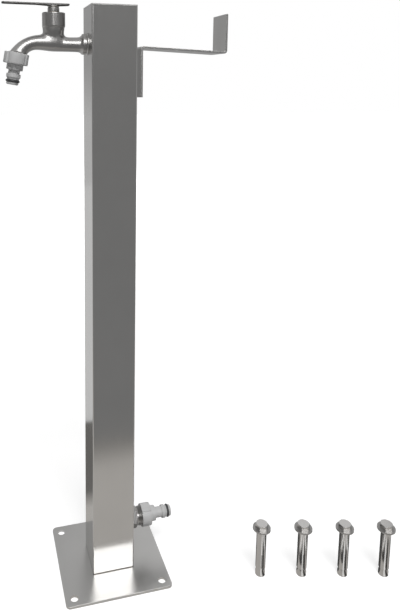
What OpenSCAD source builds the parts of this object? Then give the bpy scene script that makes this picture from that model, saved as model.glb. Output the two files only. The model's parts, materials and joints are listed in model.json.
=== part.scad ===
// Garden standpipe: a square stainless column on a fixing plate, with a quarter-turn tap,
// a hose hook, a quick-coupling inlet near the ground and a riser pipe inside.
// Millimetres. The origin is the centre of the base plate's underside, +Z is up.
// The tap points to -X, the hook and the inlet to +X.

/* [Base plate] */
// Width of the square base plate
plate_w = 150; // [130:1:200]
// Thickness of the base plate
plate_t = 4; // [3:0.5:8]
// Corner radius of the base plate
plate_corner_r = 6; // [2:0.5:10]
// Distance from a fixing hole's centre to the plate's edges
bolt_edge = 12.5; // [11:0.5:20]

/* [Column] */
// Height of the top of the column above the ground
stand_h = 800; // [600:10:1200]
// Outside width of the square column
column_w = 60; // [58:1:80]
// Wall of the column
column_wall = 1.5; // [1:0.1:1.8]
// Outside corner radius of the column
column_corner_r = 2; // [2:0.1:6]
// Thickness of the plate that closes the column
cap_t = 1.5; // [1:0.1:3]

/* [Hose hook] */
// Distance of the arm's root below the top of the column
hook_drop = 51; // [40:1:120]
// Width of the hook's strip
hook_w = 45; // [42:1:58]
// Thickness of the hook's strip
hook_t = 3; // [2:0.5:4]
// Inside radius of the hook's bends
hook_bend_r = 1.5; // [1:0.5:5]
// Length of the leg that is screwed to the bracket
hook_leg = 62; // [50:1:90]
// Straight length of the arm
hook_arm = 112; // [80:1:160]
// Straight length of the upturned tip
hook_tip = 48; // [30:1:70]
// Droop of the arm in degrees
hook_droop = 2.5; // [0:0.5:6]
// Depth of the bracket behind the leg
bracket_depth = 6.5; // [6.3:0.1:12]
// Step from the strip's edges to the bracket's sides
bracket_inset = 0.3; // [0.3:0.1:8]
// Sheet thickness of the bracket
bracket_t = 2; // [1.5:0.1:2.1]
// Thread diameter of the hook's screws
hook_screw_d = 5; // [4:0.5:6]
// Distance between the hook's screws
hook_screw_pitch = 36; // [26:1:40]

/* [Tap body] */
// Distance of the tap's axis below the top of the column
tap_drop = 49; // [46:1:90]
// Distance from the column to the tap's stem
stem_reach = 44; // [40:1:60]
// Outside diameter of the tap's pipe
pipe_d = 17; // [16:0.5:20]
// Bore of the waterway
water_bore = 11; // [9:0.5:11.5]
// Diameter of the collar at the wall
collar_d = 25; // [23:0.5:27]
// Length of the collar
collar_len = 5; // [4:0.5:8]
// Diameter of the wall rosette
rosette_d = 29; // [28.5:0.5:40]
// Thickness of the wall rosette
rosette_t = 3; // [2.5:0.5:5]
// Step from the chest's flats to the globe under them
globe_step = 0.7; // [0.4:0.1:1.5]
// Wall of the chest around the bonnet thread
chest_wall = 2.6; // [2:0.1:4]
// Height to which the chest's corners stand over its flats
chest_corner = 0.6; // [0.3:0.1:1.5]
// Length of the chest's six flats
flats_h = 18.5; // [14:0.5:20]
// Straight run of the spout before its bend
spout_run = 22.5; // [20:0.5:40]
// Centre-line radius of the spout's bend
spout_bend_r = 26.5; // [24:0.5:40]
// Turn of the spout's bend in degrees
spout_sweep = 80; // [60:1:90]
// Swell of the spout's radius towards the chest
spout_swell = 1.7; // [0.5:0.1:2.5]
// Flare of the spout's radius towards its thread
spout_flare = 2; // [0.5:0.1:3]

/* [Cartridge] */
// Height of the valve seat above the tap's axis
seat_lift = 3; // [3:0.1:4]
// Diameter of the ceramic discs
disc_d = 14.6; // [13:0.2:16]
// Thickness of each ceramic disc
disc_t = 3; // [2.5:0.1:4]
// Diameter of the water holes in the discs
disc_port_d = 3.6; // [2.5:0.1:4]
// Thickness of the seat seal
seat_seal_t = 3; // [2:0.1:4]
// Wall of the cartridge body
cartridge_wall = 1.6; // [1.2:0.1:2.5]
// Length of the cartridge body between the spindle's drive and its flange
cartridge_stem = 11; // [10:0.5:16]
// Thickness of the cartridge flange
cartridge_flange_t = 3.5; // [2.5:0.5:5]
// Diameter of the cartridge's upper neck
cartridge_neck_d = 12; // [11.5:0.1:14]
// Height of the nut that holds the cartridge
cartridge_nut_h = 7; // [5:0.5:8]
// Diameter of the spindle
spindle_d = 7.9; // [7:0.1:9]
// Height of the spindle's drive bar
drive_h = 3; // [2.5:0.1:4]

/* [Handle] */
// Diameter of the hub under the lever
hub_d = 15; // [13:0.5:20]
// Height of the hub
hub_h = 8.5; // [8:0.5:14]
// Length of the lever in front of the stem
lever_front = 65; // [40:1:90]
// Length of the lever behind the stem
lever_back = 20.5; // [14:0.5:24]
// Width of the lever
lever_w = 14; // [12:0.5:20]
// Thickness of the lever
lever_t = 2.5; // [2.5:0.1:4]
// Corner radius of the lever
lever_corner_r = 5; // [2:0.5:6]
// Thread diameter of the handle screw
handle_screw_d = 4; // [3:0.5:4]

/* [Hose connectors] */
// Diameter of the pipe thread under the connector nuts
hose_thread_d = 26.4; // [25:0.1:28]
// Length of thread inside a connector nut
nut_grip = 9; // [6:0.5:10]
// Wall of a connector nut
nut_wall = 2.3; // [2:0.1:4]
// Depth of the finger grooves in a nut
nut_groove = 1.2; // [0.6:0.1:1.6]
// Length of the narrow collar of a nut
nut_collar_len = 7.5; // [3:0.5:9]
// Wall of the narrow collar of a nut
nut_collar_wall = 1.1; // [0.8:0.1:2]
// Thickness of the rubber washer in a nut
hose_washer_t = 2; // [1.5:0.1:3]
// Thickness of the nipple's flange
nipple_flange_t = 2.2; // [1.5:0.1:3]
// Diameter of the nipple's coupling ridge
ridge_d = 18.2; // [17:0.1:20]
// Length of the nipple's coupling ridge
ridge_len = 6; // [2.5:0.5:7]
// Diameter of the nipple's neck
neck_d = 14.6; // [13.4:0.1:15.6]
// Length of the outlet nipple's neck
outlet_neck = 5; // [4:0.5:12]
// Length of the inlet nipple's neck
inlet_neck = 10.5; // [4:0.5:14]
// Length of the nipple's nose beyond the ridge
nose_len = 8; // [7:0.5:14]
// Diameter of the nipple's nose
nose_d = 15.4; // [14.6:0.1:16.6]
// Thickness of the nipple's ring seal
oring_t = 3.2; // [2.4:0.1:3.6]
// Bore of the nipple
nipple_bore = 9; // [7:0.5:9]

/* [Inlet] */
// Height of the inlet above the ground
inlet_z = 60; // [50:1:150]
// Length of the union's hexagon
union_hex_len = 9; // [8:0.5:14]
// Width across the flats of the union
union_af = 27; // [27:0.5:30]
// Length of the union's hose thread
union_thread_len = 16.5; // [12:0.5:24]
// Thickness of the washer against the column
wall_washer_t = 1.5; // [1:0.1:3]
// Thickness of the locknut inside the column
locknut_t = 6; // [4:0.5:7]

/* [Riser] */
// Diameter of the threaded tails inside the column
tail_d = 20.9; // [20:0.1:21.5]
// Length of tail held in each elbow
tail_grip = 11; // [8:0.5:11]
// Outside diameter of the elbows' sockets
socket_d = 27; // [25.5:0.5:29]
// Height of the elbows' threaded ends
elbow_rise = 24; // [24:0.5:32]
// Outside diameter of the riser pipe
riser_d = 16; // [14:0.5:17]
// Width across the flats of the riser nuts
riser_nut_af = 25; // [24:0.5:28]
// Thread length inside a riser nut
riser_nut_grip = 9; // [6:0.5:9]
// Thickness of the riser's flat seals
riser_seal_t = 2; // [1.5:0.1:3]

/* [Anchors] */
// Outside diameter of the anchors' sleeves
sleeve_d = 14; // [13.2:0.1:16]
// Length of the anchors' sleeves
sleeve_len = 60; // [40:1:80]
// Thread diameter of the anchor bolts
anchor_d = 10; // [8:0.1:10.4]
// Width across the flats of the bolt heads
anchor_af = 16; // [13:0.5:18]
// Height of the bolt heads
anchor_head_h = 6.4; // [4:0.1:8]
// Diameter of the anchor washers
anchor_washer_d = 25; // [18:0.1:30]
// Thickness of the anchor washers
anchor_washer_t = 2.2; // [1.5:0.1:3]
// Length of the anchors' cones below the sleeves
cone_h = 11; // [9:0.5:16]
// Distance between the standing anchors
anchor_pitch = 59.5; // [40:0.5:80]

/* [Clearances] */
// Radial clearance of threads and running fits
run_gap = 0.05; // [0.03:0.01:0.1]
// Radial clearance of pieces that pass freely
free_gap = 0.3; // [0.3:0.05:0.6]
// Radial clearance of bolts and tails in the sheet metal
hole_gap = 0.25; // [0.2:0.05:0.5]
// Axial clearance above turning faces
end_gap = 0.1; // [0.05:0.05:0.3]

/* [Hidden] */
$fn = 64;
eps = 0.01;
// How far a cut runs past the face it starts from
over = 1;
steel = [0.72, 0.72, 0.71];
polished = [0.80, 0.80, 0.79];
dark_steel = [0.45, 0.45, 0.45];
brass = [0.78, 0.64, 0.35];
grey_plastic = [0.66, 0.67, 0.68];
black_rubber = [0.08, 0.08, 0.08];
ceramic = [0.92, 0.92, 0.90];
// Column and plate
wall_x = column_w / 2;
inner_x = wall_x - column_wall;
column_h = stand_h - plate_t - cap_t;
bolt_hole_d = anchor_d + 2 * hole_gap;
bolt_pitch = plate_w - 2 * bolt_edge;
tail_hole_d = tail_d + 2 * hole_gap;
// Hook
leg_x = wall_x + bracket_depth;
leg_top_z = stand_h - hook_drop - hook_t - hook_bend_r;
leg_z = leg_top_z - hook_leg;
screw_z = leg_z + hook_leg / 2;
bracket_w = hook_w - 2 * bracket_inset;
hook_head_d = 2 * hook_screw_d;
hook_head_h = hook_screw_d * 0.6;
hook_nut_af = 1.6 * hook_screw_d;
hook_nut_h = bracket_depth - bracket_t - 2 * hole_gap;
// Tap
tap_z = stand_h - tap_drop;
stem_x = -(wall_x + stem_reach);
collar_r = collar_d / 2;
pipe_r = pipe_d / 2;
neck_fillet = collar_r - pipe_r;
rosette_recess = rosette_t / 2;
rosette_bevel = 1;
wall_seal_w = 1.8;
seal_d = tail_hole_d + 2 * wall_seal_w;
thread_runout = 0.5;
flare_len = 5;
// Cartridge, heights above the tap's axis
disc_bore_d = disc_d + 2 * end_gap;
cartridge_d = disc_bore_d + 2 * cartridge_wall;
cavity_gap = 1;
cavity_d = cartridge_d + 2 * cavity_gap;
ledge_w = 1.7;
flange_d = cavity_d + 2 * ledge_w;
bonnet_d = flange_d + 2 * end_gap;
chest_af = bonnet_d + 2 * chest_wall;
globe_r = chest_af / 2 - globe_step;
globe_rise = 2;
globe_lift = globe_r - pipe_r + globe_rise;
fixed_disc_z = seat_lift + seat_seal_t;
turning_disc_z = fixed_disc_z + disc_t;
drive_z = turning_disc_z + disc_t;
drive_top_z = drive_z + drive_h;
cartridge_z = seat_lift + seat_seal_t / 3;
ledge_z = drive_top_z + cartridge_stem;
flange_top_z = ledge_z + cartridge_flange_t;
nut_stand_back = 1;
neck_top_z = flange_top_z + cartridge_nut_h + nut_stand_back;
chest_top_z = neck_top_z + nut_stand_back;
clip_z = neck_top_z + end_gap;
clip_t = 0.7;
clip_w = 1.3;
hub_lift = 0.5;
hub_z = chest_top_z + hub_lift;
lever_z = hub_z + hub_h;
spindle_sink = 1;
spindle_top_z = lever_z - spindle_sink;
drive_flats = 0.76 * spindle_d;
drive_bar_w = 0.4 * disc_d;
drive_key_w = 2.4;
drive_key_h = 1.2;
ring_t = 1;
ring_groove_w = ring_t + 2 * end_gap;
ring_groove_d = spindle_d - 2 * ring_t + 4 * run_gap;
spindle_ring_t = (spindle_d - run_gap - ring_groove_d) / 2;
spindle_ring_z = [drive_top_z + 4, drive_top_z + 8];
clip_groove_d = 0.78 * spindle_d;
seat_w = 3.3;
seat_hole_d = disc_d - 2 * seat_w;
screw_head_d = 1.95 * handle_screw_d;
screw_head_h = screw_head_d / 4;
screw_depth = 9;
// Hose connectors, heights along the connector's axis from the thread's end face
flange_z = hose_washer_t;
lip_z = hose_washer_t + nipple_flange_t + end_gap;
lip_t = 0.7;
nut_bore_d = hose_thread_d + 4 * run_gap;
nut_d = nut_bore_d + 2 * nut_wall;
nut_end_z = lip_z + lip_t;
lip_bore_d = ridge_d + 2 * free_gap;
nut_collar_d = lip_bore_d + 2 * nut_collar_wall;
collar_end_z = nut_end_z + nut_collar_len;
washer_land = 2.5;
washer_id = nipple_bore + 2 * washer_land;
flange_plate_gap = 0.55;
flange_plate_d = nut_bore_d - 2 * flange_plate_gap;
oring_groove_w = oring_t + 2 * end_gap;
oring_set_back = 1.4;
oring_sink = 0.15;
oring_groove_d = ridge_d - 2 * oring_t - 2 * oring_sink;
groove_count = 4;
// Inlet and riser
inlet_end_x = wall_x + wall_washer_t + union_hex_len + union_thread_len;
inlet_socket_x = inner_x - locknut_t;
riser_low_z = inlet_z + elbow_rise;
riser_high_z = tap_z - elbow_rise;
riser_flange_t = 2.2;
riser_flange_w = 1.25;
riser_flange_d = tail_d - 2 * riser_flange_w;
riser_lip_t = 2.5;
riser_nut_h = riser_nut_grip + riser_seal_t + riser_flange_t + end_gap + riser_lip_t;
// Anchors
anchor_start = [205, -82];
anchor_row_angle = -14.2;
anchor_count = 4;
sleeve_play = 0.8;
sleeve_bore = anchor_d + 2 * sleeve_play;
sleeve_top = cone_h + sleeve_len;
washer_top = sleeve_top + anchor_washer_t;
slit_w = 1.2;
slit_h = 0.4 * sleeve_len;
bolt_end_z = 1;

// Shared shapes

module rounded_square(w, r) {
  square([w - 2 * r, w], center = true);
  square([w, w - 2 * r], center = true);
  for (x = [-1, 1], y = [-1, 1])
    translate([x * (w / 2 - r), y * (w / 2 - r)])
      circle(r = r);
}

module ring(od, id, h) {
  difference() {
    cylinder(d = od, h = h);
    translate([0, 0, -eps])
      cylinder(d = id, h = h + 2 * eps);
  }
}

module hexagon(af, h) {
  cylinder(d = af / cos(30), h = h, $fn = 6);
}

module ring_seal(id, t) {
  rotate_extrude()
    translate([id / 2 + t / 2, 0])
      circle(d = t, $fn = 32);
}

// Local +Z runs along the row's +X from a point on the axis at height z
module along_x(x, z) {
  translate([x, 0, z])
    rotate([0, 90, 0])
      children();
}

// Local +Z runs along the row's -X
module against_x(x, z) {
  translate([x, 0, z])
    rotate([0, -90, 0])
      children();
}

// Origin on the tap's axis under the stem
module at_stem() {
  translate([stem_x, 0, tap_z])
    children();
}

// Origin on the end face of the spout's thread, local +Z out of the spout
module at_outlet() {
  at_stem()
    translate([-spout_run - spout_bend_r * sin(spout_sweep), 0, -spout_bend_r * (1 - cos(spout_sweep))])
      rotate([0, 90 - spout_sweep - 180, 0])
        mirror([1, 0, 0])
          children();
}

// Origin on the end face of the inlet union's thread, local +Z out of the union
module at_inlet() {
  along_x(inlet_end_x, inlet_z)
    children();
}

module each_anchor() {
  for (i = [0:anchor_count - 1])
    translate([anchor_start[0], anchor_start[1], 0])
      rotate(anchor_row_angle)
        translate([i * anchor_pitch, 0, 0])
          children();
}

// Stand

module base_plate() {
  color(steel)
    difference() {
      linear_extrude(plate_t)
        rounded_square(plate_w, plate_corner_r);
      for (x = [-1, 1], y = [-1, 1])
        translate([x * bolt_pitch / 2, y * bolt_pitch / 2, -eps])
          cylinder(d = bolt_hole_d, h = plate_t + 2 * eps);
    }
}

module column_tube() {
  color(steel)
    difference() {
      translate([0, 0, plate_t])
        linear_extrude(column_h)
          difference() {
            rounded_square(column_w, column_corner_r);
            rounded_square(column_w - 2 * column_wall, column_corner_r - column_wall);
          }
      against_x(-inner_x + over, tap_z)
        cylinder(d = tail_hole_d, h = column_wall + 2 * over);
      along_x(inner_x - over, inlet_z)
        cylinder(d = tail_hole_d, h = column_wall + 2 * over);
    }
}

module top_cap() {
  color(steel)
    translate([0, 0, stand_h - cap_t])
      linear_extrude(cap_t)
        rounded_square(column_w, column_corner_r);
}

// Hose hook

module at_hook_screws() {
  for (side = [-1, 1])
    along_x(leg_x, screw_z + side * hook_screw_pitch / 2)
      children();
}

module hook_bracket() {
  color(steel)
    difference() {
      translate([wall_x, -bracket_w / 2, leg_z])
        cube([bracket_depth, bracket_w, hook_leg]);
      translate([wall_x - eps, -bracket_w / 2 + bracket_t, leg_z - eps])
        cube([bracket_depth - bracket_t + eps, bracket_w - 2 * bracket_t, hook_leg + 2 * eps]);
      at_hook_screws()
        translate([0, 0, -bracket_t - over])
          cylinder(d = hook_screw_d + 2 * hole_gap, h = bracket_t + 2 * over);
    }
}

// A bend of the strip from an angle through a turn of less than 180 degrees
module strip_bend(from, turn) {
  outer_r = hook_bend_r + hook_t;
  wedge = [for (a = [from, from + turn / 2, from + turn]) 2 * outer_r * [cos(a), sin(a)]];
  intersection() {
    difference() {
      circle(r = outer_r);
      circle(r = hook_bend_r);
    }
    polygon(concat([[0, 0]], wedge));
  }
}

// The strip seen from its edge, x away from the column and y up
module hook_profile() {
  outer_r = hook_bend_r + hook_t;
  turn = 90 + hook_droop;
  translate([leg_x, leg_z]) {
    square([hook_t, hook_leg]);
    translate([outer_r, hook_leg]) {
      strip_bend(180, -turn);
      rotate(-turn)
        translate([-outer_r, 0]) {
          square([hook_t, hook_arm]);
          translate([-hook_bend_r, hook_arm]) {
            strip_bend(0, turn);
            rotate(turn)
              translate([hook_bend_r, 0])
                square([hook_t, hook_tip]);
          }
        }
    }
  }
}

module hose_hook() {
  color(steel)
    difference() {
      rotate([90, 0, 0])
        linear_extrude(hook_w, center = true)
          hook_profile();
      at_hook_screws()
        translate([0, 0, -over])
          cylinder(d = hook_screw_d + 2 * hole_gap, h = hook_t + 2 * over);
    }
}

module hook_screws() {
  color(polished)
    at_hook_screws() {
      translate([0, 0, -bracket_depth + free_gap])
        cylinder(d = hook_screw_d, h = bracket_depth - free_gap + hook_t);
      translate([0, 0, hook_t])
        intersection() {
          cylinder(d = hook_head_d, h = hook_head_h);
          cylinder(d1 = hook_head_d + hook_head_h, d2 = hook_head_d - hook_head_h, h = hook_head_h);
        }
    }
}

module hook_nuts() {
  color(polished)
    at_hook_screws()
      translate([0, 0, -bracket_t - hook_nut_h])
        difference() {
          hexagon(hook_nut_af, hook_nut_h);
          translate([0, 0, -eps])
            cylinder(d = hook_screw_d + 2 * run_gap, h = hook_nut_h + 2 * eps);
        }
}

// Tap

module tap_rosette() {
  color(polished)
    against_x(-wall_x, tap_z)
      difference() {
        intersection() {
          cylinder(d = rosette_d, h = rosette_t);
          cylinder(r1 = rosette_d / 2 + rosette_bevel, r2 = rosette_d / 2 - rosette_bevel, h = rosette_t);
        }
        translate([0, 0, -eps])
          cylinder(d = tail_hole_d, h = rosette_t + 2 * eps);
        translate([0, 0, -eps])
          cylinder(d = seal_d + 2 * run_gap, h = rosette_recess + eps);
      }
}

module tap_wall_seal() {
  color(black_rubber)
    against_x(-wall_x, tap_z)
      ring(seal_d, tail_hole_d, rosette_recess);
}

// The pipe from the wall to the stem, with the collar's fillet
module tap_pipe() {
  against_x(-wall_x - rosette_t, tap_z) {
    rotate_extrude()
      difference() {
        square([collar_r, collar_len + neck_fillet]);
        translate([collar_r, collar_len + neck_fillet])
          circle(r = neck_fillet);
      }
    cylinder(d = pipe_d, h = stem_reach - rosette_t);
  }
  along_x(-wall_x - rosette_t, tap_z)
    cylinder(d = tail_d, h = rosette_t + column_wall + tail_grip);
}

// The globe under the chest, with the swells of pipe and spout at its sides, whose ends dip under the pipe
module tap_globe() {
  dip = 0.3;
  pipe_swell_x = 9;
  pipe_swell_len = 11;
  pipe_swell_rise = 3;
  spout_swell_rise = spout_swell + dip;
  at_stem() {
    translate([0, 0, globe_lift])
      sphere(r = globe_r);
    translate([0, 0, pipe_swell_rise])
      rotate([0, 90, 0])
        translate([0, 0, pipe_swell_x])
          cylinder(r1 = globe_r - pipe_swell_rise, r2 = pipe_r - pipe_swell_rise - dip, h = pipe_swell_len);
    translate([0, 0, spout_swell_rise])
      rotate([0, -90, 0])
        cylinder(r1 = pipe_r + spout_swell, r2 = pipe_r - spout_swell_rise - dip, h = spout_run);
  }
}

// Six flats with two of them across the pipe, and corners turned round
module tap_chest() {
  flats_z = chest_top_z - flats_h;
  round_r = chest_af / 2 + chest_corner;
  edge = 0.3;
  at_stem() {
    translate([0, 0, globe_lift])
      cylinder(r = globe_r, h = flats_z + over - globe_lift);
    translate([0, 0, flats_z])
      intersection() {
        rotate(30)
          hexagon(chest_af, flats_h);
        cylinder(r = round_r, h = flats_h);
        cylinder(r1 = round_r + flats_h / 2, r2 = round_r - edge, h = flats_h);
        cylinder(r1 = globe_r + edge, r2 = globe_r + flats_h, h = flats_h);
      }
  }
}

module spout_path(d) {
  at_stem() {
    rotate([0, -90, 0])
      cylinder(d = d, h = spout_run);
    translate([-spout_run, 0, -spout_bend_r])
      rotate([90, 0, 0])
        rotate([0, 0, 90])
          rotate_extrude(angle = spout_sweep)
            translate([spout_bend_r, 0])
              circle(d = d);
  }
}

// The web under the seat parts the water that comes in from the water that goes out
module tap_waterways() {
  web_t = 2;
  web_reach = 2.5;
  port_reach = 6;
  cavity_r = cavity_d / 2;
  port_d = seat_hole_d;
  port_z = seat_lift - web_t - port_d / 2;
  against_x(-inner_x + tail_grip + over, tap_z)
    cylinder(d = water_bore, h = stem_reach + column_wall - cavity_r - web_reach + tail_grip + over);
  at_stem() {
    translate([cavity_r + port_reach, 0, port_z])
      rotate([0, -90, 0])
        cylinder(d = port_d, h = cavity_r + port_reach + port_d / 2);
    translate([0, 0, port_z])
      cylinder(d = port_d, h = seat_lift - port_z + eps);
    translate([0, 0, seat_lift])
      cylinder(d = cavity_d, h = chest_top_z);
    translate([0, 0, ledge_z])
      cylinder(d = bonnet_d, h = chest_top_z);
  }
  difference() {
    spout_path(water_bore);
    at_stem()
      translate([-cavity_r + web_t, -pipe_d, -pipe_d])
        cube([2 * pipe_d, 2 * pipe_d, 2 * pipe_d]);
  }
  at_outlet()
    translate([0, 0, -eps])
      cylinder(d = water_bore, h = over);
}

module tap_body() {
  color(polished)
    difference() {
      union() {
        tap_pipe();
        tap_globe();
        tap_chest();
        spout_path(pipe_d);
        at_outlet() {
          translate([0, 0, -nut_grip - thread_runout])
            cylinder(d = hose_thread_d, h = nut_grip + thread_runout);
          translate([0, 0, -nut_grip - flare_len])
            cylinder(r1 = pipe_r - spout_flare / 4, r2 = pipe_r + spout_flare, h = flare_len);
        }
      }
      tap_waterways();
    }
}

// Cartridge

module seat_seal() {
  color(black_rubber)
    at_stem()
      translate([0, 0, seat_lift])
        ring(disc_d, seat_hole_d, seat_seal_t);
}

module cartridge_body() {
  window_sill = 0.2;
  window_h = drive_h - 2 * window_sill;
  color(brass)
    at_stem()
      difference() {
        union() {
          translate([0, 0, cartridge_z])
            cylinder(d = cartridge_d, h = ledge_z - cartridge_z + eps);
          translate([0, 0, ledge_z])
            cylinder(d = flange_d, h = cartridge_flange_t);
          translate([0, 0, flange_top_z - eps])
            cylinder(d = cartridge_neck_d, h = neck_top_z - flange_top_z + eps);
        }
        translate([0, 0, cartridge_z - eps])
          cylinder(d = disc_bore_d, h = drive_top_z + end_gap - cartridge_z);
        cylinder(d = spindle_d + 2 * run_gap, h = neck_top_z + over);
        for (side = [0, 180])
          rotate(side)
            translate([0, -disc_d / 4, drive_z + window_sill])
              cube([cartridge_d, disc_d / 2, window_h]);
      }
}

module cartridge_seal() {
  t = cavity_gap - 2 * run_gap;
  set_back = 3;
  color(black_rubber)
    at_stem()
      translate([0, 0, ledge_z - set_back])
        ring_seal(cartridge_d + 2 * run_gap, t);
}

module cartridge_nut() {
  slot_w = 3;
  slot_depth = 2;
  color(brass)
    at_stem()
      translate([0, 0, flange_top_z])
        difference() {
          ring(bonnet_d - 2 * run_gap, cartridge_neck_d + 2 * free_gap, cartridge_nut_h);
          for (side = [0, 90])
            rotate(side)
              translate([-flange_d, -slot_w / 2, cartridge_nut_h - slot_depth])
                cube([2 * flange_d, slot_w, slot_depth + over]);
        }
}

// Two water holes across the disc
module disc_ports(h) {
  for (side = [-1, 1])
    translate([side * disc_d / 4, 0, -eps])
      cylinder(d = disc_port_d, h = h + 2 * eps);
}

module drive_slot(w, h) {
  translate([-w / 2, -disc_d * 0.3, -h])
    cube([w, disc_d * 0.6, h + eps]);
}

module fixed_disc() {
  color(ceramic)
    at_stem()
      translate([0, 0, fixed_disc_z])
        difference() {
          cylinder(d = disc_d, h = disc_t);
          rotate(90)
            disc_ports(disc_t);
        }
}

module turning_disc() {
  color(ceramic)
    at_stem()
      translate([0, 0, turning_disc_z])
        difference() {
          cylinder(d = disc_d, h = disc_t);
          disc_ports(disc_t);
          translate([0, 0, disc_t])
            drive_slot(drive_key_w + end_gap, drive_key_h + end_gap);
        }
}

module tap_spindle() {
  color(brass)
    at_stem()
      difference() {
        union() {
          translate([0, 0, drive_z])
            intersection() {
              cylinder(d = disc_d, h = drive_h);
              translate([-drive_bar_w / 2, -disc_d, -over])
                cube([drive_bar_w, 2 * disc_d, drive_h + 2 * over]);
            }
          translate([0, 0, drive_z])
            drive_slot(drive_key_w, drive_key_h);
          translate([0, 0, drive_z])
            cylinder(d = spindle_d, h = hub_z - free_gap - drive_z);
          intersection() {
            translate([0, 0, drive_top_z])
              cylinder(d = spindle_d, h = spindle_top_z - drive_top_z);
            translate([-drive_flats / 2, -spindle_d, drive_top_z])
              cube([drive_flats, 2 * spindle_d, spindle_top_z]);
          }
        }
        for (z = spindle_ring_z)
          translate([0, 0, z - ring_groove_w / 2])
            ring(spindle_d + over, ring_groove_d, ring_groove_w);
        translate([0, 0, clip_z])
          ring(spindle_d + over, clip_groove_d, clip_t + end_gap);
        translate([0, 0, spindle_top_z - screw_depth])
          cylinder(d = handle_screw_d + 2 * run_gap, h = screw_depth + eps);
      }
}

module spindle_rings() {
  color(black_rubber)
    at_stem()
      for (z = spindle_ring_z)
        translate([0, 0, z])
          ring_seal(ring_groove_d + 2 * run_gap, spindle_ring_t);
}

module spindle_clip() {
  color(dark_steel)
    at_stem()
      translate([0, 0, clip_z])
        ring(spindle_d + 2 * clip_w, clip_groove_d + 2 * run_gap, clip_t);
}

// Handle

module handle_hub() {
  chamfer = 0.8;
  color(polished)
    at_stem()
      translate([0, 0, hub_z])
        difference() {
          intersection() {
            cylinder(d = hub_d, h = hub_h);
            cylinder(r1 = hub_d / 2 - chamfer, r2 = hub_d / 2 - chamfer + hub_h, h = hub_h);
          }
          translate([0, 0, -eps])
            intersection() {
              cylinder(d = spindle_d + 2 * run_gap, h = hub_h);
              translate([-drive_flats / 2 - run_gap, -spindle_d, -over])
                cube([drive_flats + 2 * run_gap, 2 * spindle_d, hub_h + over - spindle_sink + end_gap]);
            }
          cylinder(d = handle_screw_d + 2 * hole_gap, h = hub_h + eps);
        }
}

module handle_lever() {
  r = lever_corner_r;
  sink_gap = 0.2;
  sink_d = screw_head_d + 2 * sink_gap;
  sink_h = screw_head_h + sink_gap / 2;
  color(polished)
    at_stem()
      translate([0, 0, lever_z])
        difference() {
          linear_extrude(lever_t) {
            translate([-lever_front, -lever_w / 2 + r])
              square([lever_front + lever_back, lever_w - 2 * r]);
            translate([-lever_front + r, -lever_w / 2])
              square([lever_front + lever_back - 2 * r, lever_w]);
            for (x = [-lever_front + r, lever_back - r], y = [-1, 1])
              translate([x, y * (lever_w / 2 - r)])
                circle(r = r);
          }
          translate([0, 0, -eps])
            cylinder(d = handle_screw_d + 2 * hole_gap, h = lever_t + over);
          translate([0, 0, lever_t - sink_h])
            cylinder(d1 = screw_head_d / 2 + 2 * sink_gap, d2 = sink_d, h = sink_h + eps);
        }
}

module handle_screw() {
  head_h = screw_head_h;
  top_z = lever_z + lever_t;
  shank_z = spindle_top_z - screw_depth + over;
  socket_af = 0.6 * handle_screw_d;
  socket_depth = 0.7 * head_h;
  color(dark_steel)
    at_stem()
      difference() {
        union() {
          translate([0, 0, top_z - head_h])
            cylinder(d1 = screw_head_d / 2, d2 = screw_head_d, h = head_h);
          translate([0, 0, shank_z])
            cylinder(d = handle_screw_d, h = top_z - head_h - shank_z + eps);
        }
        translate([0, 0, top_z - socket_depth])
          hexagon(socket_af, head_h);
      }
}

// Hose connectors, drawn along local +Z from the end face of the thread they screw onto

module connector_nut() {
  color(grey_plastic)
    difference() {
      union() {
        translate([0, 0, -nut_grip])
          cylinder(d = nut_d, h = nut_grip + nut_end_z);
        translate([0, 0, nut_end_z - eps])
          cylinder(d = nut_collar_d, h = nut_collar_len + eps);
      }
      translate([0, 0, -nut_grip - eps])
        cylinder(d = nut_bore_d, h = nut_grip + lip_z + eps);
      cylinder(d = lip_bore_d, h = collar_end_z + eps);
      for (i = [0:groove_count - 1])
        rotate(45 + i * 360 / groove_count)
          translate([nut_d / 2, 0, -nut_grip - eps])
            cylinder(r = nut_groove, h = nut_grip + nut_end_z + 2 * eps);
    }
}

module connector_washer() {
  color(black_rubber)
    ring(flange_plate_d, washer_id, hose_washer_t);
}

module connector_nipple(neck) {
  ridge_z = collar_end_z + neck;
  nose_z = ridge_z + ridge_len;
  tip_z = nose_z + nose_len;
  chamfer = 1;
  color(grey_plastic)
    difference() {
      union() {
        translate([0, 0, flange_z])
          cylinder(d = flange_plate_d, h = nipple_flange_t);
        translate([0, 0, flange_z + eps])
          cylinder(d = ridge_d, h = collar_end_z + free_gap - flange_z);
        translate([0, 0, collar_end_z])
          cylinder(d = neck_d, h = neck + eps);
        translate([0, 0, ridge_z])
          cylinder(d = ridge_d, h = ridge_len);
        translate([0, 0, nose_z - eps])
          cylinder(d = nose_d, h = nose_len - chamfer + 2 * eps);
        translate([0, 0, tip_z - chamfer])
          cylinder(d1 = nose_d, d2 = nose_d - 2 * chamfer, h = chamfer);
      }
      cylinder(d = nipple_bore, h = tip_z + over);
      translate([0, 0, nose_z + oring_set_back])
        ring(ridge_d + over, oring_groove_d, oring_groove_w);
    }
}

module connector_ring(neck) {
  color(black_rubber)
    translate([0, 0, collar_end_z + neck + ridge_len + oring_set_back + oring_groove_w / 2])
      ring_seal(oring_groove_d + 2 * run_gap, oring_t);
}

module outlet_nut() at_outlet() connector_nut();
module outlet_washer() at_outlet() connector_washer();
module outlet_nipple() at_outlet() connector_nipple(outlet_neck);
module outlet_ring() at_outlet() connector_ring(outlet_neck);
module inlet_nut() at_inlet() connector_nut();
module inlet_washer() at_inlet() connector_washer();
module inlet_nipple() at_inlet() connector_nipple(inlet_neck);
module inlet_ring() at_inlet() connector_ring(inlet_neck);

// Inlet

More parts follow.
